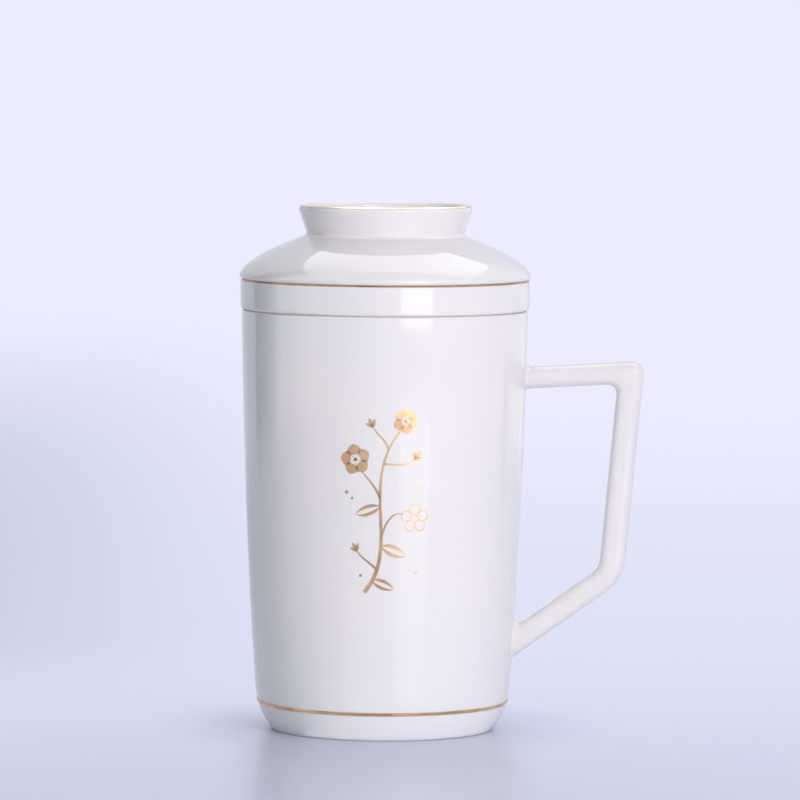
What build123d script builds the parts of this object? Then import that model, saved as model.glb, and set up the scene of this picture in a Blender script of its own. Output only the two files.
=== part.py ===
from build123d import *
import os
from math import cos, radians, sin

os.makedirs("parts", exist_ok=True)

# Porcelain tea mug with a drop-in infuser and a lift-off lid, with gilt lines.
# Millimetres. The origin is the middle of the foot on the table, +Z is up and the handle points along +X.

# Mug body
mug_height = 117.8
lip_radius = 40.1
belly_inset = 1.55
belly_height_share = 0.526
hip_inset = 4.2
hip_rise = 5.4
heel_inset = 5.0
heel_height = 8.1
foot_inset = 9.1
mug_wall = 3.4
mug_floor = 4.0
mug_corner = 9.0
lip_round = 0.9
foot_ring_width = 3.0
foot_recess = 1.8
foot_round = 0.4

# Handle, measured on the middle line of its bar
handle_drop = 16.95
handle_rise = 1.8
handle_reach = 29.05
handle_lean = 5.05
handle_foot_height = 24.0
handle_bend_rise = 20.4
handle_sink = 9.0
handle_top_bar = 6.0
handle_upright_bar = 7.1
handle_lower_bar = 6.6
handle_depth = 8.6
handle_round_share = 0.46
handle_corner_ease = 0.7
handle_corner_inside = 2.4
handle_bend_outside = 13.0
handle_bend_inside = 6.0
lute_round = 1.7
lute_sink = 0.35

# Infuser
collar_overhang = 0.4
collar_height = 8.5
collar_wall = 3.6
collar_round = 0.9
collar_bevel = 0.6
bevel_round = 0.2
ledge_thickness = 3.0
ledge_round = 1.4
basket_play = 0.8
basket_depth = 66.0
basket_taper = 5.4
basket_wall = 2.6
basket_floor = 2.8
basket_corner = 7.0
hole_radius = 1.1
hole_pitch = 5.2
hole_rings = 4
holes_per_ring = 6
wall_rows = 4
wall_row_pitch = 6.0
wall_row_start = 11.0
wall_holes = 24
first_hole_shares = (0.75, 0.25)

# Lid
lid_overhang = 0.3
lid_play = 0.9
lid_wall = 3.2
flange_gap = 0.7
flange_wall = 2.8
flange_round = 0.8
brim_height = 1.2
brim_round = 0.85
brim_ease = 1.1
shoulder_inset = 2.0
shoulder_height = 6.3
dome_rise = 12.2
ceiling_drop = 2.0
ceiling_round = 15.0

# Grip on the lid
grip_radius = 22.1
grip_height = 8.5
grip_flare = 2.3
grip_wall = 2.4
grip_lute = 0.5
grip_lute_round = 0.9
grip_bevel = 0.9
grip_bevel_round = 0.2
grip_lip_round = 0.9
rim_round_share = 0.45

# Gilding
gilt_thickness = 0.12
gilt_gap = 0.06
gilt_foot_width = 0.9
gilt_foot_drop = 0.2
gilt_collar_width = 0.42
gilt_rim_width = 0.45
gilt_rim_inset = 0.4

# Sizes that follow from the ones above
belly_radius = lip_radius - belly_inset
belly_height = mug_height * belly_height_share
hip_radius = lip_radius - hip_inset
hip_height = heel_height + hip_rise
heel_radius = lip_radius - heel_inset
foot_radius = lip_radius - foot_inset
mouth_radius = lip_radius - mug_wall
handle_bend_height = handle_foot_height + handle_bend_rise
handle_round = min(handle_top_bar, handle_upright_bar, handle_lower_bar, handle_depth) * handle_round_share
handle_corner_outside = handle_round + handle_corner_ease
floor_height = foot_recess + mug_floor
collar_radius = lip_radius + collar_overhang
collar_bore = collar_radius - collar_wall
seat_height = mug_height + collar_height
neck_radius = mouth_radius - basket_play
basket_bottom = mug_height - basket_depth
basket_foot = neck_radius - basket_taper
lid_radius = collar_radius + lid_overhang
flange_radius = collar_bore - lid_play
flange_bore = flange_radius - flange_wall
flange_depth = collar_height - ledge_thickness - flange_gap
ceiling_spring = seat_height + shoulder_height - ceiling_drop
grip_base = seat_height + dome_rise
grip_top = grip_base + grip_height
grip_rim_radius = grip_radius + grip_flare
grip_rim_round = grip_wall * rim_round_share

# Round pieces are turned about Z from a section with its radius across and its height up.
# The section stands on +Y, so that the seam of each turned face lies behind, away from the handle.
turning_plane = Plane.YZ


def mug_outside(inset=0):
    """Outline of the mug's outside, or of a form inset from it, from the lip down to the foot."""
    side = ThreePointArc(
        (lip_radius - inset, mug_height - inset),
        (belly_radius - inset, belly_height),
        (hip_radius - inset, hip_height),
    )
    hip = TangentArc(side @ 1, (heel_radius - inset, heel_height), tangent=side % 1)
    heel = TangentArc(hip @ 1, (foot_radius - inset, inset), tangent=hip % 1)
    return side, hip, heel


def mug_form(inset):
    """Section of a solid with the mug's outside, drawn in to the axis."""
    side, hip, heel = mug_outside(inset)
    Polyline(heel @ 1, (0, inset), (0, mug_height - inset), side @ 0)


def handle_side(outward):
    """Corners of one side of the handle's bar: outward is 1 on the outside and -1 on the finger side."""
    top = mug_height - handle_drop
    reach = lip_radius + handle_reach
    top_joint = Vector(lip_radius, top - handle_rise)
    corner = Vector(reach, top)
    bend = Vector(reach - handle_lean, handle_bend_height)
    lower_joint = Vector(hip_radius, handle_foot_height)
    top_end = top_joint + (top_joint - corner).normalized() * handle_sink
    lower_end = lower_joint + (lower_joint - bend).normalized() * handle_sink
    middle = (top_end, corner, bend, lower_end)
    bars = (handle_top_bar, handle_upright_bar, handle_lower_bar)
    runs = []
    for start, end, bar in zip(middle, middle[1:], bars):
        along = (end - start).normalized()
        aside = Vector(-along.Y, along.X) * (outward * bar / 2)
        runs.append((start + aside, end + aside, along))
    corners = [runs[0][0]]
    for (start, _, along), (other, _, turned) in zip(runs, runs[1:]):
        gap = other - start
        across = along.X * turned.Y - along.Y * turned.X
        corners.append(start + along * ((gap.X * turned.Y - gap.Y * turned.X) / across))
    corners.append(runs[-1][1])
    return corners


def gilt_band(middle, along, width):
    """Section of a gilt line laid along a surface, with its middle over a point of it."""
    reach = along.normalized() * (width / 2)
    out = Vector(-along.Y, along.X).normalized()
    under = out * gilt_gap
    over = out * (gilt_gap + gilt_thickness)
    Polyline(
        middle - reach + under,
        middle + reach + under,
        middle + reach + over,
        middle - reach + over,
        close=True,
    )


# Mug body: a tapered shell on a recessed base, with a flat lip and a narrow foot ring
with BuildPart() as mug_body:
    with BuildSketch(turning_plane) as mug_section:
        with BuildLine():
            side, hip, heel = mug_outside()
            foot_bore = foot_radius - foot_ring_width
            Polyline(heel @ 1, (foot_bore, 0), (foot_bore, foot_recess), (0, foot_recess))
            Polyline((0, foot_recess), (0, floor_height), (heel_radius - mug_wall, floor_height))
            ThreePointArc(
                (heel_radius - mug_wall, floor_height),
                (belly_radius - mug_wall, belly_height),
                (mouth_radius, mug_height),
            )
            Line((mouth_radius, mug_height), side @ 0)
        make_face()
        lip_corners = mug_section.vertices().group_by(Axis.Y)[-1]
        fillet(lip_corners, lip_round)
        foot_corners = mug_section.vertices().group_by(Axis.Y)[0]
        fillet(foot_corners, foot_round)
        floor_corner = mug_section.vertices().sort_by_distance((heel_radius - mug_wall, floor_height))[0]
        fillet(floor_corner, mug_corner)
    revolve(axis=Axis.Z)
mug_body.part.label = "mug_body"
export_step(mug_body.part, "parts/mug_body.step")

# Solid forms of the mug: the lute springs from one just under the surface, and the other trims it there
with BuildPart() as lute_form:
    with BuildSketch(turning_plane):
        with BuildLine():
            mug_form(lute_sink)
        make_face()
    revolve(axis=Axis.Z)
with BuildPart() as trim_form:
    with BuildSketch(turning_plane):
        with BuildLine():
            mug_form(0)
        make_face()
    revolve(axis=Axis.Z)

# Handle: a cast bar, well rounded on its front and back, flared where it is luted to the mug
with BuildPart() as mug_handle:
    with BuildSketch(Plane.XZ):
        with BuildLine():
            outside = FilletPolyline(*handle_side(1), radius=(handle_corner_outside, handle_bend_outside))
            inside = FilletPolyline(*handle_side(-1), radius=(handle_corner_inside, handle_bend_inside))
            Line(outside @ 0, inside @ 0)
            Line(outside @ 1, inside @ 1)
        make_face()
    extrude(amount=handle_depth / 2, both=True)
    flat_sides = mug_handle.faces().sort_by(Axis.Y)
    fillet(flat_sides[0].edges() + flat_sides[-1].edges(), handle_round)
    add(lute_form.part)
    luted_edges = mug_handle.edges().filter_by(
        lambda edge: edge.center().X > foot_radius - lute_sink
        and lute_form.part.distance_to(edge.center()) < lute_sink / 2
    )
    fillet(luted_edges, lute_round)
    add(trim_form.part, mode=Mode.SUBTRACT)
mug_handle.part.label = "mug_handle"
export_step(mug_handle.part, "parts/mug_handle.step")

# Infuser: a collar that rests on the lip, and a tapered basket with a pierced floor and wall
with BuildPart() as infuser_basket:
    with BuildSketch(turning_plane):
        with BuildLine():
            FilletPolyline(
                (0, basket_bottom),
                (basket_foot, basket_bottom),
                (neck_radius, mug_height),
                (collar_radius, mug_height),
                (collar_radius, seat_height - collar_bevel),
                (collar_radius - collar_bevel, seat_height),
                (collar_bore, seat_height),
                (collar_bore, mug_height + ledge_thickness),
                (neck_radius - basket_wall, mug_height + ledge_thickness),
                (basket_foot - basket_wall, basket_bottom + basket_floor),
                (0, basket_bottom + basket_floor),
                radius=(
                    basket_corner,
                    basket_play / 2,
                    collar_round,
                    bevel_round,
                    bevel_round,
                    collar_round,
                    ledge_round,
                    ledge_round,
                    basket_corner - basket_wall,
                ),
            )
            Line((0, basket_bottom + basket_floor), (0, basket_bottom))
        make_face()
    revolve(axis=Axis.Z)
    with BuildSketch(Plane.XY.offset(basket_bottom)):
        Circle(hole_radius)
        for ring in range(1, hole_rings + 1):
            with PolarLocations(ring * hole_pitch, ring * holes_per_ring):
                Circle(hole_radius)
    extrude(amount=basket_corner, mode=Mode.SUBTRACT)
    hole_step = 360 / wall_holes
    for row in range(wall_rows):
        row_height = basket_bottom + wall_row_start + row * wall_row_pitch
        first_angle = hole_step * first_hole_shares[row % 2]
        for hole in range(wall_holes):
            turn = radians(first_angle + hole * hole_step)
            outward = (cos(turn), sin(turn), 0)
            through_wall = Plane(origin=(0, 0, row_height), z_dir=outward)
            with BuildSketch(through_wall.offset(basket_foot - basket_corner)):
                Circle(hole_radius)
    extrude(amount=basket_corner + basket_taper, mode=Mode.SUBTRACT)
infuser_basket.part.label = "infuser_basket"
export_step(infuser_basket.part, "parts/infuser_basket.step")

# Lid dome: a low dome whose brim rests on the collar, with a flange that keeps it in the collar's mouth
with BuildPart() as lid_dome:
    with BuildSketch(turning_plane) as lid_section:
        with BuildLine():
            Bezier(
                (grip_radius, grip_base),
                (lid_radius - shoulder_inset, seat_height + shoulder_height),
                (lid_radius, seat_height + brim_height),
            )
            Polyline(
                (lid_radius, seat_height + brim_height),
                (lid_radius, seat_height),
                (flange_radius, seat_height),
                (flange_radius, seat_height - flange_depth),
                (flange_bore, seat_height - flange_depth),
                (flange_bore, ceiling_spring),
            )
            FilletPolyline(
                (flange_bore, ceiling_spring),
                (grip_radius - lid_wall, grip_base - lid_wall),
                (0, grip_base - lid_wall),
                radius=(ceiling_round,),
            )
            Polyline((0, grip_base - lid_wall), (0, grip_base), (grip_radius, grip_base))
        make_face()
        brim_edge = lid_section.vertices().sort_by_distance((lid_radius, seat_height + brim_height))[0]
        fillet(brim_edge, brim_ease)
        brim_corner = lid_section.vertices().sort_by_distance((lid_radius, seat_height))[0]
        fillet(brim_corner, brim_round)
        flange_corners = lid_section.vertices().group_by(Axis.Y)[0]
        fillet(flange_corners, flange_round)
    revolve(axis=Axis.Z)
lid_dome.part.label = "lid_dome"
export_step(lid_dome.part, "parts/lid_dome.step")

# Lid grip: a flared ring with an open top, luted to the crown of the dome
with BuildPart() as lid_grip:
    with BuildSketch(turning_plane):
        with BuildLine():
            ring = FilletPolyline(
                (grip_radius + 2 * grip_lute, grip_base - grip_lute),
                (grip_radius, grip_base + grip_lute),
                (grip_rim_radius, grip_top - grip_bevel),
                (grip_rim_radius - grip_bevel, grip_top),
                (grip_rim_radius - grip_wall, grip_top),
                (grip_radius - grip_wall, grip_base - grip_lute),
                radius=(grip_lute_round, grip_lip_round, grip_bevel_round, grip_rim_round),
            )
            Line(ring @ 1, ring @ 0)
        make_face()
    revolve(axis=Axis.Z)
    add(lid_dome.part, mode=Mode.SUBTRACT)
lid_grip.part.label = "lid_grip"
export_step(lid_grip.part, "parts/lid_grip.step")

# Gilt line round the mug's heel
with BuildPart() as gilt_foot_line:
    with BuildSketch(turning_plane):
        with BuildLine(mode=Mode.PRIVATE):
            side, hip, heel = mug_outside()
        with BuildLine():
            gilt_band(hip @ 1 + (hip % 1) * gilt_foot_drop, hip % 1, gilt_foot_width)
        make_face()
    revolve(axis=Axis.Z)
gilt_foot_line.part.label = "gilt_foot_line"
export_step(gilt_foot_line.part, "parts/gilt_foot_line.step")

# Gilt line on the bevelled top edge of the infuser's collar, clear of the lid's brim
with BuildPart() as gilt_collar_line:
    with BuildSketch(turning_plane):
        with BuildLine():
            bevel_top = Vector(collar_radius - collar_bevel, seat_height)
            bevel_foot = Vector(collar_radius, seat_height - collar_bevel)
            gilt_band((bevel_top + bevel_foot) / 2, bevel_foot - bevel_top, gilt_collar_width)
        make_face()
    revolve(axis=Axis.Z)
gilt_collar_line.part.label = "gilt_collar_line"
export_step(gilt_collar_line.part, "parts/gilt_collar_line.step")

# Gilt line on the bevelled rim of the grip
with BuildPart() as gilt_grip_rim:
    with BuildSketch(turning_plane):
        with BuildLine():
            bevel_top = Vector(grip_rim_radius - grip_bevel, grip_top)
            bevel_foot = Vector(grip_rim_radius, grip_top - grip_bevel)
            along = (bevel_foot - bevel_top).normalized()
            gilt_band(bevel_top + along * gilt_rim_inset, along, gilt_rim_width)
        make_face()
    revolve(axis=Axis.Z)
gilt_grip_rim.part.label = "gilt_grip_rim"
export_step(gilt_grip_rim.part, "parts/gilt_grip_rim.step")
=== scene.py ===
from math import cos, degrees, pi, radians, sin, tan

import bmesh
import bpy
from mathutils import Matrix, Vector
from mathutils.bvhtree import BVHTree
from mathutils.geometry import interpolate_bezier


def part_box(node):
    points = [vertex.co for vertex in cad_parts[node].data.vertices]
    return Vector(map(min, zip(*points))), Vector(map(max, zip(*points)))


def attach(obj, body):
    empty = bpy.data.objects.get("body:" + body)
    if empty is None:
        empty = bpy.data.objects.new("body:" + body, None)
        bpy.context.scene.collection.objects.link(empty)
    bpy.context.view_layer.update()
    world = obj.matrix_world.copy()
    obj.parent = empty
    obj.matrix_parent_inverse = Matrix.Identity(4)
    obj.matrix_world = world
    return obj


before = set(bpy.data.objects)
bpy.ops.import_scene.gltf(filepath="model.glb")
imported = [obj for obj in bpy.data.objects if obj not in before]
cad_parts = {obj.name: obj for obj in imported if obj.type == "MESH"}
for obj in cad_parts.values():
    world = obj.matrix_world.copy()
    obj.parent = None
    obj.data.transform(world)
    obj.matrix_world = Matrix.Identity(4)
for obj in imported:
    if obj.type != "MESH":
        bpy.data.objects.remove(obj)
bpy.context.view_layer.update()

# Looks of a porcelain tea mug with a drop-in infuser and a lift-off lid: glaze, gilding and a gilt sprig.
# Metres, in the frame of the solids: the origin is the middle of the foot and the handle points along +X.

MM = 0.001

# Heights and reaches taken from the solids
collar_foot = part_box("mug_body")[1].z
lip_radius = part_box("mug_body")[1].y
lid_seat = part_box("infuser_basket")[1].z

# Camera, at the photograph's viewing angle, with its angles in degrees and its lens in mm
CAMERA_DISTANCE = 1.6045
CAMERA_HEIGHT = 0.2054
CAMERA_TURN = 4.0
CAMERA_ASIDE = 0.157
CAMERA_PITCH = 4.032
CAMERA_ROLL = 0.421
CAMERA_LENS = 258.3
CAMERA_REACH = 20.0


class Shade:
    """A socket of a node tree. Sums on it add Math nodes, and node() adds any other kind."""

    def __init__(self, tree, socket=None):
        self.tree = tree
        self.socket = socket

    def node(self, kind, settings=(), sockets=(), output=0):
        """Adds a node, sets it, fills or links its sockets and gives one of its outputs."""
        made = self.tree.nodes.new(kind)
        for name, value in dict(settings).items():
            setattr(made, name, value)
        for name, value in dict(sockets).items():
            if isinstance(value, Shade):
                self.tree.links.new(value.socket, made.inputs[name])
            else:
                made.inputs[name].default_value = value
        return Shade(self.tree, made.outputs[output] if made.outputs else None)

    def maths(self, operation, *values):
        return self.node("ShaderNodeMath", {"operation": operation}, enumerate(values))

    def __add__(self, other):
        return self.maths("ADD", self, other)

    def __rsub__(self, other):
        return self.maths("SUBTRACT", other, self)

    def __mul__(self, other):
        return self.maths("MULTIPLY", self, other)

    __radd__ = __add__
    __rmul__ = __mul__

    def most(self, other):
        return self.maths("MAXIMUM", self, other)

    def unsigned(self):
        return self.maths("ABSOLUTE", self)

    def rise(self, low, high):
        """0 below low, 1 above high and a smooth step between them."""
        steps = {"Value": self, "From Min": low, "From Max": high}
        return self.node("ShaderNodeMapRange", {"interpolation_type": "SMOOTHSTEP"}, steps)

    def band(self, start, full, fading, end):
        """1 from full to fading, with a smooth step up to it from start and another down to end."""
        return self.rise(start, full) * (1 - self.rise(fading, end))

    def mixed(self, colour, other):
        """The first colour where this value is 0, the other where it is 1."""
        return self.node("ShaderNodeMix", {"data_type": "RGBA"}, {0: self, 6: colour, 7: other}, 2)

    def place(self):
        return self.node("ShaderNodeTexCoord", output="Object")

    def part(self, axis):
        return self.node("ShaderNodeSeparateXYZ", sockets={"Vector": self}, output=axis)

    def length(self):
        return self.node("ShaderNodeVectorMath", {"operation": "LENGTH"}, {0: self}, "Value")

    def bearing(self):
        """Angle round the mug in degrees, 0 in front of it and below 0 on its left."""
        return self.maths("ARCTAN2", self.part("X"), self.part("Y") * -1) * degrees(1)

    def stretched(self, scale):
        return self.node("ShaderNodeMapping", sockets={"Vector": self, "Scale": scale})

    def noise(self, scale, detail=2.0):
        sockets = {"Vector": self, "Scale": scale, "Detail": detail}
        return self.node("ShaderNodeTexNoise", sockets=sockets, output="Fac")

    def bump(self, distance):
        return self.node("ShaderNodeBump", sockets={"Height": self, "Distance": distance}, output="Normal")

    def ray(self, kind):
        return self.node("ShaderNodeLightPath", output=f"Is {kind} Ray")

    def shown(self):
        """1 for what is seen straight, in a mirror or through glass, 0 for what only sheds light."""
        return self.ray("Camera").most(self.ray("Glossy")).most(self.ray("Transmission"))


def linear(red, green, blue):
    """A colour given in display values from 0 to 255, as the shader's own linear values."""
    shares = [value / 255 for value in (red, green, blue)]
    return [s / 12.92 if s <= 0.04045 else ((s + 0.055) / 1.055) ** 2.4 for s in shares] + [1.0]


def new_material(name):
    """An empty material and a Shade to build its nodes with."""
    material = bpy.data.materials.new(name)
    material.use_nodes = True
    material.node_tree.nodes.clear()
    return material, Shade(material.node_tree)


def surface(nodes, shader):
    nodes.node("ShaderNodeOutputMaterial", sockets={"Surface": shader})


def add_to_scene(name, data):
    """A new object in the scene, with a mesh, lamp or camera as its data."""
    made = bpy.data.objects.new(name, data)
    bpy.context.scene.collection.objects.link(made)
    return made


# Porcelain: each glaze has a white, and a cooler tone where it pools; the handle's is darker (painted shade)
# and the grip's lighter (painted light)
GLAZE = linear(236, 233, 231), linear(231, 231, 231)
SHADED_HANDLE_GLAZE = linear(231, 227, 226), linear(227, 226, 226)
LIT_GRIP_GLAZE = linear(242, 236, 235), linear(238, 235, 235)
GLAZE_IOR = 1.52
GLAZE_ROUGHNESS = 0.015
GLAZE_VARIATION = 0.025
VARIATION_SCALE = 95.0
POOL_SCALE = 16.0
POOL_RANGE = (0.35, 0.7)
RIPPLE_SCALE = 42.0
RIPPLE_DETAIL = 1.0
RIPPLE_DEPTH = 0.012 * MM

# Unglazed seats: the bare stretch of height at each, measured from the seat
BISCUIT = linear(216, 209, 198), linear(226, 220, 210)
BISCUIT_SCALE = 2600.0
BISCUIT_ROUGHNESS = 0.55
BARE_EDGE = 0.15 * MM
FOOT_BARE = (-1.0 * MM, 0.25 * MM)
SEAT_BARE = (-0.05 * MM, 0.2 * MM)


def porcelain(name, seat, bare_range, glaze=GLAZE):
    """Clear glaze over white porcelain, left bare where the piece stands on its seat."""
    material, nodes = new_material(name)
    place = nodes.place()
    low, high = (seat + edge for edge in bare_range)
    bare = place.part("Z").band(low - BARE_EDGE, low, high, high + BARE_EDGE)
    body = place.noise(POOL_SCALE).rise(*POOL_RANGE).mixed(*glaze)
    biscuit = place.noise(BISCUIT_SCALE).mixed(*BISCUIT)
    gloss = GLAZE_ROUGHNESS + GLAZE_VARIATION * place.noise(VARIATION_SCALE)
    shader = nodes.node(
        "ShaderNodeBsdfPrincipled",
        sockets={
            "Base Color": bare.mixed(body, biscuit),
            "Roughness": gloss + bare * BISCUIT_ROUGHNESS,
            "IOR": GLAZE_IOR,
            "Normal": place.noise(RIPPLE_SCALE, RIPPLE_DETAIL).bump(RIPPLE_DEPTH),
        },
    )
    surface(nodes, shader)
    return material


# Gilding: each gold has its tone where it is thick and where it is thin; the rim's paler gold is painted
# light, the cream that the overhead light gives it
GOLD = linear(238, 204, 160), linear(204, 163, 120)
LIT_PALE_GOLD = linear(248, 232, 208), linear(230, 205, 178)
LINE_ROUGHNESS = 0.2
SPRIG_ROUGHNESS = 0.24
PATCH_SCALE = 140.0
PATCH_RANGE = (0.35, 0.75)
STROKE_STRETCH = (90.0, 90.0, 2400.0)
STROKE_SCALE = 1.0
STROKE_ROUGHNESS = 0.16
STROKE_DEPTH = 0.01 * MM


def gilding(name, roughness, gold=GOLD):
    """Burnished gold over the glaze, brushed on round the piece, so a little uneven along its length."""
    material, nodes = new_material(name)
    place = nodes.place()
    strokes = place.stretched(STROKE_STRETCH).noise(STROKE_SCALE)
    shader = nodes.node(
        "ShaderNodeBsdfPrincipled",
        sockets={
            "Base Color": place.noise(PATCH_SCALE).rise(*PATCH_RANGE).mixed(*gold),
            "Metallic": 1.0,
            "Roughness": roughness + STROKE_ROUGHNESS * strokes,
            "Normal": strokes.bump(STROKE_DEPTH),
        },
    )
    surface(nodes, shader)
    return material


def dressed(node, material):
    """Gives a CAD node its finish."""
    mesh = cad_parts[node].data
    mesh.materials.clear()
    mesh.materials.append(material)


line_gold = gilding("line_gold", LINE_ROUGHNESS)
dressed("mug_body", porcelain("mug_porcelain", 0, FOOT_BARE))
# The handle's darker glaze is painted shade
dressed("mug_handle", porcelain("shaded_handle_porcelain", 0, FOOT_BARE, SHADED_HANDLE_GLAZE))
dressed("infuser_basket", porcelain("infuser_porcelain", collar_foot, SEAT_BARE))
dressed("lid_dome", porcelain("lid_porcelain", lid_seat, SEAT_BARE))
# The grip's lighter glaze is painted light
dressed("lid_grip", porcelain("lit_grip_porcelain", lid_seat, SEAT_BARE, LIT_GRIP_GLAZE))
dressed("gilt_foot_line", line_gold)
dressed("gilt_collar_line", line_gold)
# The grip's rim takes the paler gold: painted light
dressed("gilt_grip_rim", gilding("lit_rim_gold", LINE_ROUGHNESS, LIT_PALE_GOLD))

# Gilt sprig on the front of the mug: its middle and its relief
SPRIG_TURN = radians(CAMERA_TURN - 90)
SPRIG_HEIGHT = 67.0 * MM
SPRIG_LIFT = 0.02 * MM
SPRIG_THICKNESS = 0.03 * MM

# Drawing of the sprig in mm from its middle. Widths are half widths, and angles are degrees
LINE = 0.16
STEM = ((-5.5, -25), (5.5, -13), (-7.5, 5), (4.6, 19.5))
STEM_WIDTHS = (0.62, 0.24)
TWIG_WIDTHS = (0.34, 0.18)

# Twigs: the share of the stem where each starts, two handles and its end
TWIGS = (
    (0.36, (1.0, -3.5), (3.8, -2.9), (5.2, -3.3)),
    (0.60, (-3.0, 5.5), (-4.5, 6.0), (-6.3, 8.6)),
    (0.80, (3.0, 10.5), (6.0, 9.5), (8.6, 11.6)),
    (0.88, (0.6, 17.5), (-1.6, 17.8), (-3.0, 20.6)),
    (0.16, (-4.0, -16.5), (-6.0, -16.0), (-7.6, -13.6)),
)

# Flowers and buds: middle, radius and turn
LEFT_BLOSSOM = (-8.0, 11.6, 4.3, 100)
RIGHT_BLOSSOM = (9.0, -4.6, 3.9, 20)
TOP_BLOSSOM = (6.0, 22.2, 3.5, 62)
BUDS = ((8.6, 11.6, 1.5, 52), (-3.0, 20.6, 1.4, 118), (-7.6, -13.6, 1.3, 122))

# Leaves: foot, tip and how far each half bends out
LEAVES = (
    ((-0.7, -12.2), (6.6, -15.0), 1.5),
    ((-0.9, -1.2), (-8.2, -3.6), 1.4),
    ((-3.4, -21.6), (3.2, -24.2), 1.3),
)

# Dots: middle and radius
DOTS = (
    (10.4, 4.2, 0.55),
    (8.6, 5.8, 0.4),
    (-10.6, 2.6, 0.5),
    (-9.0, 1.0, 0.38),
    (-6.6, -20.4, 0.45),
    (9.6, -19.6, 0.5),
)

# Forms of the petals, buds and leaves, with shares of their radius, their width or the line
PETALS = 5
PETAL_STEP = 360 / PETALS
PETAL_FOOT_SHARE = 0.30
PETAL_WIDTH_SHARE = 0.46
PETAL_LEAN = 0.72
PETAL_FULLNESS = 0.62
STAMEN_SHARE = 0.5
STAMEN_LINE_SHARE = 0.5
STAMEN_DOT_SHARE = 1.3
EYE_SHARE = 0.12
LOOP_FOOT_SHARE = 0.32
LOOP_FULLNESS = 0.55
LOOP_SPREAD = radians(33)
LOOP_DOT_PLACE_SHARE = 0.45
LOOP_DOT_SHARE = 1.2
LOOP_RING_RADIUS = 1.0
BUD_PETALS = ((-38, 0.85), (0, 1.0), (38, 0.85))
BUD_LENGTH_SHARE = 2
BUD_WIDTH_SHARE = 0.42
LEAF_LEAN = 0.85
LEAF_BEND_SHARES = (0.3, 0.7)
LEAF_HALF_SHARE = 0.34

mug_surface = BVHTree.FromObject(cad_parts["mug_body"], bpy.context.evaluated_depsgraph_get())


def on_glaze(across, up):
    """The point of the mug's outside that lies so far across and up, in mm, from the middle of the sprig."""
    turn = SPRIG_TURN + across * MM / lip_radius
    out = Vector((cos(turn), sin(turn), 0))
    start = out * (2 * lip_radius) + Vector((0, 0, SPRIG_HEIGHT + up * MM))
    return mug_surface.ray_cast(start, -out)[0] + out * SPRIG_LIFT


def ray_at(angle):
    return Vector((cos(angle), sin(angle)))


def straight(start, end):
    return lambda share: Vector((*start, 0)).lerp(Vector((*end, 0)), share)


def curve(*handles):
    """A path along one cubic curve from its start, two handles and its end."""
    points = [Vector((x, y, 0)) for x, y in handles]
    steps = 48
    line = interpolate_bezier(*points, steps + 1)

    def path(share):
        place = min(max(share, 0), 1) * steps
        index = min(int(place), steps - 1)
        return line[index].lerp(line[index + 1], place - index)

    return path


def tapered(start, end):
    return lambda share: start + (end - start) * share


def rounded(width):
    """Half width of a petal that is pointed at its foot and round at its end."""
    return lambda share: width * max(sin(pi * share**PETAL_LEAN), 0) ** PETAL_FULLNESS


def slender(width):
    """Half width of a leaf that is pointed at both ends."""
    return lambda share: width * max(sin(pi * share**LEAF_LEAN), 0)


def brush(art, path, half_width, rows=24, columns=2):
    """A brush stroke: a grid whose rows follow a path, as wide at each share of it as half_width says."""
    grid = bmesh.ops.create_grid(art, x_segments=columns, y_segments=rows, size=0.5)
    for vert in grid["verts"]:
        aside = vert.co.x * 2
        share = vert.co.y + 0.5
        step = 0.5 / rows
        along = (path(min(share + step, 1)) - path(max(share - step, 0))).normalized()
        vert.co = path(share) + Vector((along.y, -along.x, 0)) * (aside * half_width(share))
    bmesh.ops.remove_doubles(art, verts=grid["verts"], dist=0.01)


def dot(art, x, y, radius):
    spot = bmesh.ops.create_circle(art, cap_ends=True, segments=16, radius=radius)
    bmesh.ops.translate(art, verts=spot["verts"], vec=(x, y, 0))


def blossom(art, x, y, radius, turn):
    """Gilt petals round a ring of stamens."""
    middle = Vector((x, y))
    for petal in range(PETALS):
        ray = ray_at(radians(turn + petal * PETAL_STEP))
        foot = middle + ray * (radius * PETAL_FOOT_SHARE)
        tip = middle + ray * radius
        brush(art, straight(foot, tip), rounded(radius * PETAL_WIDTH_SHARE), rows=14, columns=6)
        between = ray_at(radians(turn + (petal + 0.5) * PETAL_STEP))
        stamen = middle + between * (radius * STAMEN_SHARE)
        thread = LINE * STAMEN_LINE_SHARE
        brush(art, straight(middle, stamen), tapered(thread, thread), rows=3)
        dot(art, *stamen, LINE * STAMEN_DOT_SHARE)
    dot(art, x, y, radius * EYE_SHARE)


def open_blossom(art, x, y, radius, turn):
    """A blossom in outline: looped lines, each a petal, and a ring in the middle."""
    for petal in range(PETALS):
        middle = radians(turn + petal * PETAL_STEP)

        def loop(share, middle=middle):
            swing = (share - 0.5) * pi
            reach = radius * (LOOP_FOOT_SHARE + (1 - LOOP_FOOT_SHARE) * cos(swing) ** LOOP_FULLNESS)
            angle = middle + LOOP_SPREAD * sin(swing)
            return Vector((x + cos(angle) * reach, y + sin(angle) * reach, 0))

        brush(art, loop, tapered(LINE, LINE), rows=36)
        spot = Vector((x, y)) + ray_at(middle) * (radius * LOOP_DOT_PLACE_SHARE)
        dot(art, *spot, LINE * LOOP_DOT_SHARE)

    def ring(share):
        angle = share * 2 * pi
        return Vector((x + cos(angle) * LOOP_RING_RADIUS, y + sin(angle) * LOOP_RING_RADIUS, 0))

    brush(art, ring, tapered(LINE, LINE))


def bud(art, x, y, radius, turn):
    """Three closed petals, the middle one the longest."""
    for lean, size in BUD_PETALS:
        tip = Vector((x, y)) + ray_at(radians(turn + lean)) * (radius * BUD_LENGTH_SHARE * size)
        brush(art, straight((x, y), tip), rounded(radius * BUD_WIDTH_SHARE * size), rows=10, columns=4)


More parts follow.
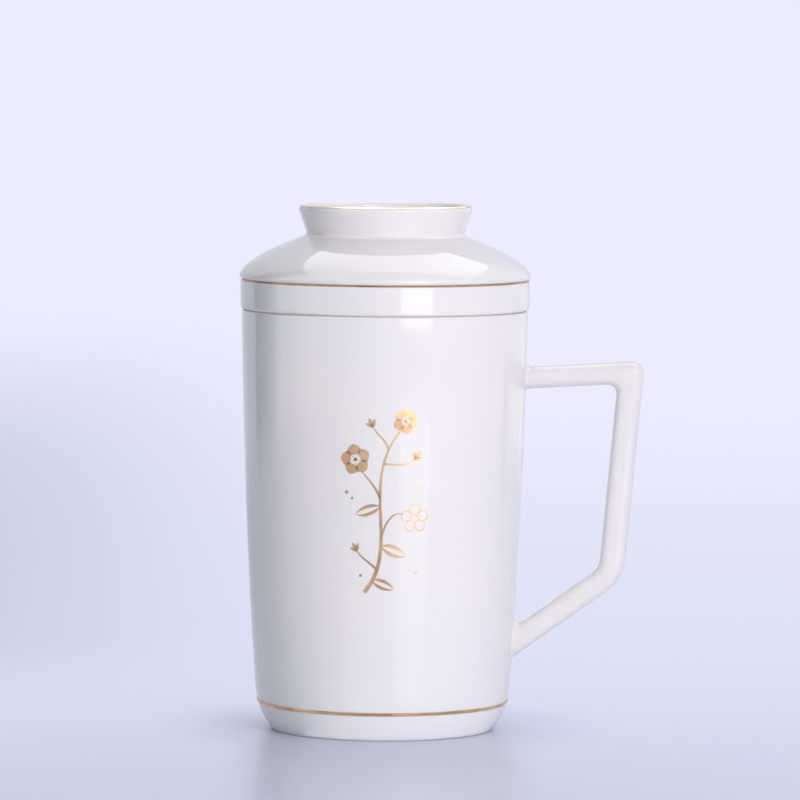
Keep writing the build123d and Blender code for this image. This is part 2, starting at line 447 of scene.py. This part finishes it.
def leaf(art, foot, tip, width):
    """Two halves of a leaf beside its vein."""
    foot, tip = Vector(foot), Vector(tip)
    along = tip - foot
    aside = Vector((along.y, -along.x)).normalized()
    for side in (-1, 1):
        bend = aside * (side * width)
        handles = [foot + along * share + bend for share in LEAF_BEND_SHARES]
        brush(art, curve(foot, *handles, tip), slender(width * LEAF_HALF_SHARE), rows=18, columns=4)


def gilt_sprig():
    """A flowering twig in gold, drawn flat and then laid on the glaze."""
    art = bmesh.new()
    stem = curve(*STEM)
    brush(art, stem, tapered(*STEM_WIDTHS), rows=60)
    for start, *handles in TWIGS:
        brush(art, curve(stem(start)[:2], *handles), tapered(*TWIG_WIDTHS))
    blossom(art, *LEFT_BLOSSOM)
    open_blossom(art, *RIGHT_BLOSSOM)
    blossom(art, *TOP_BLOSSOM)
    for place in BUDS:
        bud(art, *place)
    for place in LEAVES:
        leaf(art, *place)
    for place in DOTS:
        dot(art, *place)
    for vert in art.verts:
        vert.co = on_glaze(vert.co.x, vert.co.y)
    bmesh.ops.recalc_face_normals(art, faces=art.faces)
    for face in art.faces:
        if face.normal.dot(face.calc_center_median().to_2d().to_3d()) < 0:
            face.normal_flip()
    mesh = bpy.data.meshes.new("gilt_sprig")
    art.to_mesh(mesh)
    art.free()
    mesh.materials.append(gilding("sprig_gold", SPRIG_ROUGHNESS))
    sprig = add_to_scene("gilt_sprig", mesh)
    film = sprig.modifiers.new("film", "SOLIDIFY")
    film.thickness = SPRIG_THICKNESS
    film.offset = 1.0
    return sprig


sprig = gilt_sprig()
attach(sprig, "mug")

# Floor that sweeps up behind the mug into a backdrop
FLOOR_REACH = 3.0
COVE_START = 1.9
COVE_RADIUS = 0.6
COVE_STEPS = 24
BACKDROP_HEIGHT = 1.6


def sweep():
    """A floor with its back edge turned up through a cove into a wall."""
    shape = bmesh.new()
    sheet = bmesh.ops.create_grid(shape, x_segments=1, y_segments=1, size=1.0)
    for vert in sheet["verts"]:
        back = vert.co.y > 0
        vert.co = Vector((vert.co.x * FLOOR_REACH, COVE_START if back else -FLOOR_REACH, 0))
    back_edge = [edge for edge in shape.edges if all(v.co.y > 0 for v in edge.verts)]
    turned = bmesh.ops.spin(
        shape,
        geom=back_edge + [v for edge in back_edge for v in edge.verts],
        cent=(0, COVE_START, COVE_RADIUS),
        axis=(1, 0, 0),
        angle=pi / 2,
        steps=COVE_STEPS,
    )
    wall_foot = [part for part in turned["geom_last"] if isinstance(part, bmesh.types.BMEdge)]
    raised = bmesh.ops.extrude_edge_only(shape, edges=wall_foot)
    tops = [part for part in raised["geom"] if isinstance(part, bmesh.types.BMVert)]
    bmesh.ops.translate(shape, verts=tops, vec=(0, 0, BACKDROP_HEIGHT))
    bmesh.ops.recalc_face_normals(shape, faces=shape.faces)
    mesh = bpy.data.meshes.new("floor")
    shape.to_mesh(mesh)
    shape.free()
    for face in mesh.polygons:
        face.use_smooth = True
    return add_to_scene("floor", mesh)


# Set round the mug, which the glaze mirrors: its tones in linear values and its stretches of bearing
WALL_TONE = linear(232, 233, 250)
LEFT_REFLECTOR_TONE = (1.85, 1.86, 1.9, 1.0)
LEFT_REFLECTOR_BAND = (-97, -88, -54, -34)
RIGHT_REFLECTOR_TONE = (1.25, 1.23, 1.26, 1.0)
RIGHT_REFLECTOR_BAND = (98, 122, 150, 166)
GAP_TONE = linear(60, 61, 66)
GAP_BAND = (-125, -121, -108, -88)


def studio(place):
    """What the glaze mirrors of the set: pale walls, a reflector on each side and a dark gap on the left."""
    bearing = place.bearing()
    walls = bearing.band(*LEFT_REFLECTOR_BAND).mixed(WALL_TONE, LEFT_REFLECTOR_TONE)
    walls = bearing.band(*RIGHT_REFLECTOR_BAND).mixed(walls, RIGHT_REFLECTOR_TONE)
    return bearing.band(*GAP_BAND).mixed(walls, GAP_TONE)


# Floor where it is lit: polished further off, as the glaze mirrors it
FLOOR_TONE = linear(205, 210, 228)
FLOOR_IOR = 1.45
FLOOR_ROUGHNESS = 0.27
FLOOR_POLISH = 0.21
POLISH_RANGE = (0.12, 0.5)

# Floor where it glows: its tones, lighter further back and with a painted shadow of the mug on its left, and
# the distances back, aside or outwards over which it changes
NEAR_TONE = linear(221, 224, 243)
FAR_TONE = linear(236, 236, 254)
TONE_RANGE = (-0.2, 1.5)
# Painted shadow of the mug: the glowing floor darker on the left, behind it
PAINTED_SHADOW_TONE = linear(198, 203, 222)
PAINTED_SHADOW_SIDE = (-0.2, 0.0)
PAINTED_SHADOW_BAND = (0.0, 0.22, 0.2, 2.2)
GLOW_RANGE = (-0.3, 0.2)
CONTACT_RANGE = (0.03, 0.07)
MIRROR_SIDE = (0.03, 0.045)
MIRROR_RANGE = (-0.05, 0.0)
SET_RANGE = (0.55, 0.95)
BACKDROP_RANGE = (0.8, 1.8)


def floor_finish():
    """Pale lavender acrylic: lit, shadowed and mirroring near the mug; further off a glowing backdrop with a
    painted shadow.
    """
    material, nodes = new_material("floor_finish")
    place = nodes.place()
    back = place.part("Y")
    distance = place.length()
    glossy = nodes.ray("Glossy")
    aside = place.part("X") + back * tan(radians(CAMERA_TURN))
    mirror = (1 - aside.unsigned().rise(*MIRROR_SIDE)) * (1 - back.rise(*MIRROR_RANGE))
    far = back.rise(*GLOW_RANGE) * distance.rise(*CONTACT_RANGE) * (1 - mirror)
    beyond = glossy * distance.rise(*SET_RANGE)
    # Painted shadow of the mug on the glowing floor, to the left behind it
    painted_shadow = (1 - aside.rise(*PAINTED_SHADOW_SIDE)) * back.band(*PAINTED_SHADOW_BAND)
    tone = painted_shadow.mixed(back.rise(*TONE_RANGE).mixed(NEAR_TONE, FAR_TONE), PAINTED_SHADOW_TONE)
    polish = FLOOR_POLISH * distance.rise(*POLISH_RANGE) * glossy
    lit = nodes.node(
        "ShaderNodeBsdfPrincipled",
        sockets={"Base Color": FLOOR_TONE, "Roughness": FLOOR_ROUGHNESS - polish, "IOR": FLOOR_IOR},
    )
    glow = nodes.node("ShaderNodeEmission", sockets={"Color": beyond.mixed(tone, studio(place))})
    glowing = (far * nodes.shown()).most(beyond).most(back.rise(*BACKDROP_RANGE))
    surface(nodes, nodes.node("ShaderNodeMixShader", sockets={0: glowing, 1: lit, 2: glow}))
    return material


floor = sweep()
floor.data.materials.append(floor_finish())

# Lamps: where each stands, its width and height, and its panel's glow in linear values, where 1 is white
KEY_TURN = radians(29.0)
KEY_DISTANCE = 1.07
KEY_FILL_TURN = radians(34.0)
KEY_FILL_DISTANCE = 1.05
KEY_SIZE = (0.475, 0.9)
KEY_FOOT = 0.018
KEY_GLOW = (2.9, 2.86, 3.0)
KEY_FILL_GLOW = (2.68, 2.56, 2.72)
TOP_PLACE = Vector((0.13, 0.78, 1.27))
TOP_FILL_PLACE = Vector((0.13, 0.79, 1.245))
TOP_FACING = Vector((0, 0.406, -1))
TOP_SIZE = (1.46, 1.765)
TOP_GLOW = (1.75, 1.75, 1.85)
TOP_FILL_GLOW = (0.97, 0.97, 1.04)
LEFT_PLACE = Vector((-0.45, -1.2, 0.5))
LEFT_AIM = Vector((0, 0, 0.1))
LEFT_SIZE = (0.9, 0.9)
LEFT_GLOW = (0.95, 0.97, 0.91)
BOUNCE_PLACE = Vector((0.18, -0.16, 0.5 * MM))
BOUNCE_FACING = Vector((0, 0, 1))
BOUNCE_SIZE = (0.4, 0.3)
BOUNCE_GLOW = (0.25, 0.235, 0.235)


def at_bearing(turn, distance, height):
    """The place so far from the mug's axis, turned to the right of its front."""
    return Vector((distance * sin(turn), -distance * cos(turn), height))


def lamp(name, place, facing, size, glow, mirrored=True, diffuse=True):
    """A softbox: a panel with the given glow that stays out of the picture."""
    light = bpy.data.lights.new(name, "AREA")
    light.shape = "RECTANGLE"
    light.size, light.size_y = size
    light.energy = pi * light.size * light.size_y
    light.color = glow
    panel = add_to_scene(name, light)
    panel.location = place
    panel.rotation_euler = facing.to_track_quat("-Z", "Y").to_euler()
    panel.visible_camera = False
    panel.visible_glossy = mirrored
    panel.visible_diffuse = diffuse


key_middle = KEY_FOOT + KEY_SIZE[1] / 2
key_aim = Vector((0, 0, key_middle))
key_place = at_bearing(KEY_TURN, KEY_DISTANCE, key_middle)
fill_place = at_bearing(KEY_FILL_TURN, KEY_FILL_DISTANCE, key_middle)
lamp("key_softbox", key_place, key_aim - key_place, KEY_SIZE, KEY_GLOW)
lamp("key_fill", fill_place, key_aim - fill_place, KEY_SIZE, KEY_FILL_GLOW, mirrored=False)
lamp("top_softbox", TOP_PLACE, TOP_FACING, TOP_SIZE, TOP_GLOW, diffuse=False)
lamp("top_fill", TOP_FILL_PLACE, TOP_FACING, TOP_SIZE, TOP_FILL_GLOW, mirrored=False)
lamp("left_fill", LEFT_PLACE, LEFT_AIM - LEFT_PLACE, LEFT_SIZE, LEFT_GLOW, mirrored=False)
lamp("floor_bounce", BOUNCE_PLACE, BOUNCE_FACING, BOUNCE_SIZE, BOUNCE_GLOW, mirrored=False)

# Light from all round, held back by a low flag on the left
FILL_GLOW = (0.275, 0.27, 0.27, 1.0)
FLAG_GLOW = (0.1, 0.1, 0.1, 1.0)
FLAG_BAND = (-140, -110, -80, -50)
FLAG_TOP = (0.35, 0.65)


def surroundings():
    """A world that lights the mug softly, and that the camera and the glaze see as the set's walls."""
    world = bpy.data.worlds.new("studio")
    world.use_nodes = True
    world.node_tree.nodes.clear()
    air = Shade(world.node_tree)
    heading = air.node("ShaderNodeTexCoord", output="Generated")
    walls = air.ray("Glossy").mixed(WALL_TONE, studio(heading))
    flag = heading.bearing().band(*FLAG_BAND) * (1 - heading.part("Z").rise(*FLAG_TOP))
    ambient = flag.mixed(FILL_GLOW, FLAG_GLOW)
    sky = air.node("ShaderNodeBackground", sockets={"Color": air.shown().mixed(ambient, walls)})
    air.node("ShaderNodeOutputWorld", sockets={"Surface": sky})
    return world


bpy.context.scene.world = surroundings()

camera = add_to_scene("camera", bpy.data.cameras.new("camera"))
camera.data.lens = CAMERA_LENS
camera.data.clip_end = CAMERA_REACH
camera.matrix_world = (
    Matrix.Translation(at_bearing(radians(CAMERA_TURN), CAMERA_DISTANCE, CAMERA_HEIGHT))
    @ Matrix.Rotation(radians(CAMERA_TURN - CAMERA_ASIDE), 4, "Z")
    @ Matrix.Rotation(radians(90 - CAMERA_PITCH), 4, "X")
    @ Matrix.Rotation(radians(CAMERA_ROLL), 4, "Z")
)
bpy.context.scene.camera = camera
bpy.context.scene.view_settings.view_transform = "Standard"
